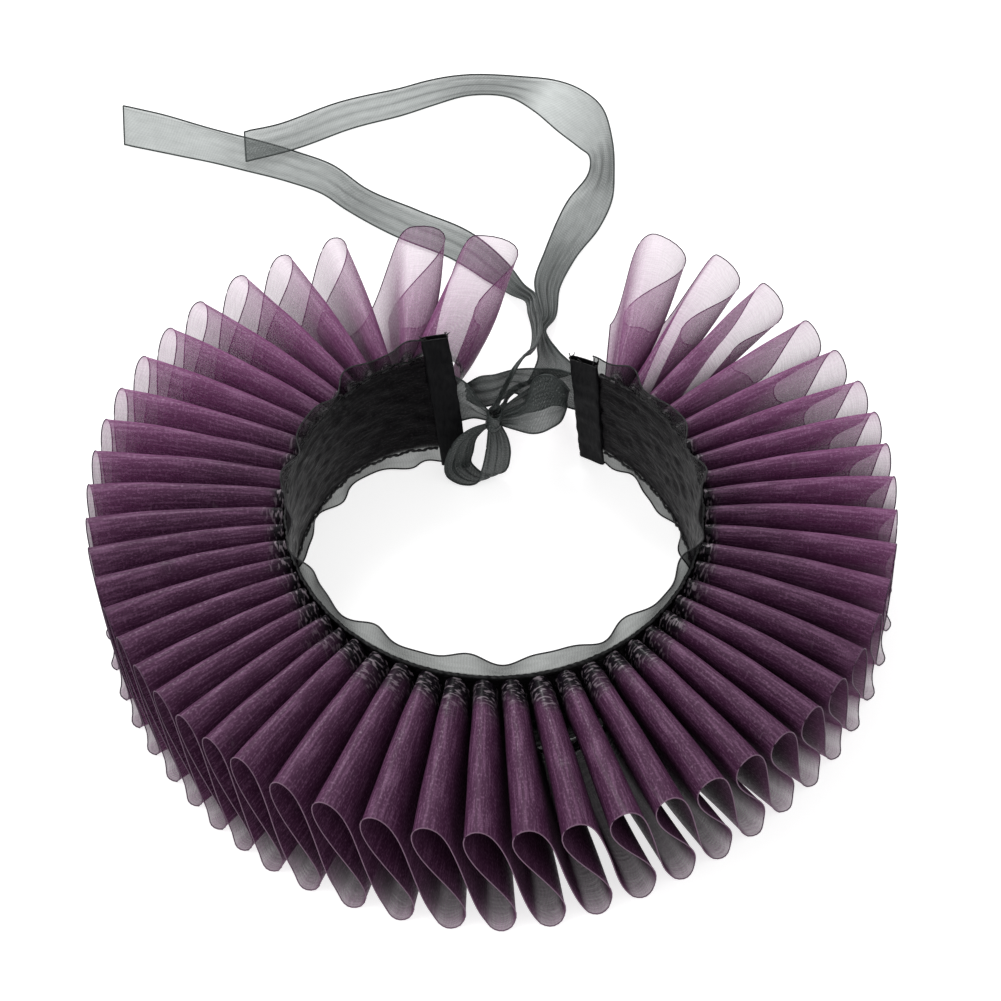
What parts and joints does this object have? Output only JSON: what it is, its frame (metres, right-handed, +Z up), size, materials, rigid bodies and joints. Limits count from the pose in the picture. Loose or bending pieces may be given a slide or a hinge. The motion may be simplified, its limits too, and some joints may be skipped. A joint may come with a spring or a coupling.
{
  "type": "ruff collar",
  "caption": "Sheer organza ruff collar: a strip set in standing waves round a stand-up neckband, open at the back and tied there with a ribbon that has two long free tails.",
  "frame": {"origin": "on the surface the collar rests on, under the middle of its bounding box", "axes": "+Z up, away from the surface; -Y towards the closed front of the collar; +Y towards its tied back opening and the ribbon tails; +X towards the wearer's left when the collar is worn with its rest side down"},
  "size_m": [0.2698, 0.3773, 0.0551],
  "materials": {
    "ruff_organza": "sheer, with a fine glitter",
    "band_organza": "sheer, gathered",
    "end_binding": "matt",
    "ribbon_organza": "sheer"
  },
  "bodies": {
    "root": {"neckband": "band_organza", "end_left": "end_binding", "end_right": "end_binding", "ruff_left_01": "ruff_organza", "ruff_left_02": "ruff_organza", "ruff_left_03": "ruff_organza", "ruff_left_04": "ruff_organza", "ruff_left_05": "ruff_organza", "ruff_left_06": "ruff_organza", "ruff_left_07": "ruff_organza", "ruff_left_08": "ruff_organza", "ruff_left_09": "ruff_organza", "ruff_left_10": "ruff_organza", "ruff_front_left": "ruff_organza", "ruff_front_right": "ruff_organza", "ruff_right_01": "ruff_organza", "ruff_right_02": "ruff_organza", "ruff_right_03": "ruff_organza", "ruff_right_04": "ruff_organza", "ruff_right_05": "ruff_organza", "ruff_right_06": "ruff_organza", "ruff_right_07": "ruff_organza", "ruff_right_08": "ruff_organza", "tie_left": "ribbon_organza", "tie_right": "ribbon_organza", "knot": "ribbon_organza", "bow_loop": "ribbon_organza", "hanging_loop": "ribbon_organza", "tail_long": "ribbon_organza", "tail_short": "ribbon_organza"}
  },
  "joints": []
}
